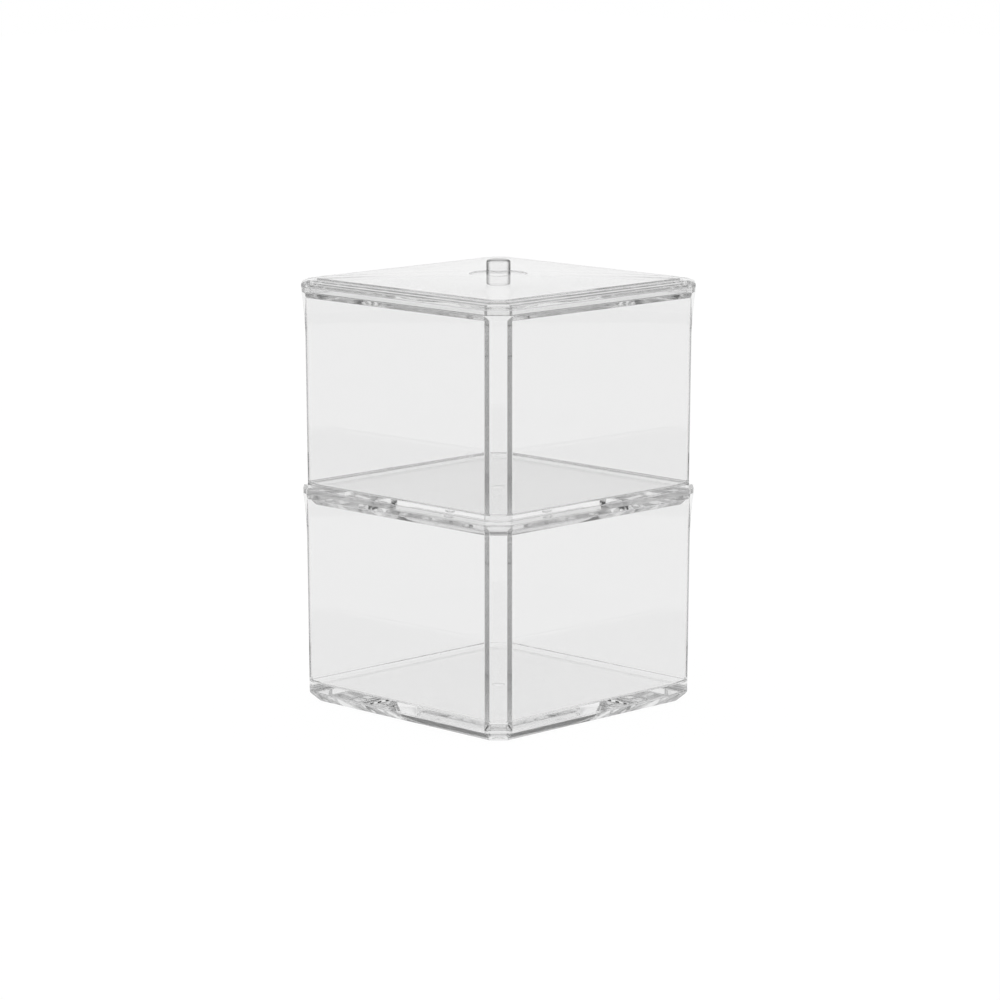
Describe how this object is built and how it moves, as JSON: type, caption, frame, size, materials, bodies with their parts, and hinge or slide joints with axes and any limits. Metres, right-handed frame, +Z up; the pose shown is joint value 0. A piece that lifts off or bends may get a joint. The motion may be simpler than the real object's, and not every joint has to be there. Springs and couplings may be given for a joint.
{
  "type": "stacking cotton pad holder",
  "caption": "Clear stacking cotton pad holder: open-topped square boxes with cut corners nest rim to foot, one above the other, under a lift-off lid with a round knob.",
  "frame": {"origin": "middle of the lower box's underside, where it stands", "axes": "+Z up through the stack, X and Y square to the flat sides, which are alike all round"},
  "size_m": [0.0952, 0.0952, 0.1443],
  "materials": {
    "clear_moulding": "clear colourless plastic, polished by the mould",
    "clear_knob": "clear colourless plastic, turned and polished"
  },
  "bodies": {
    "lower": {"lower_box": "clear_moulding"},
    "upper": {"upper_box": "clear_moulding"},
    "cover": {"lid": "clear_moulding", "knob": "clear_knob"}
  },
  "joints": [
    {"name": "upper_box_lift", "type": "slide", "parent": "lower", "child": "upper", "axis": [0, 0, 1], "range_m": [0, 0.09]},
    {"name": "lid_lift", "type": "slide", "parent": "upper", "child": "cover", "axis": [0, 0, 1], "range_m": [0, 0.09]}
  ]
}
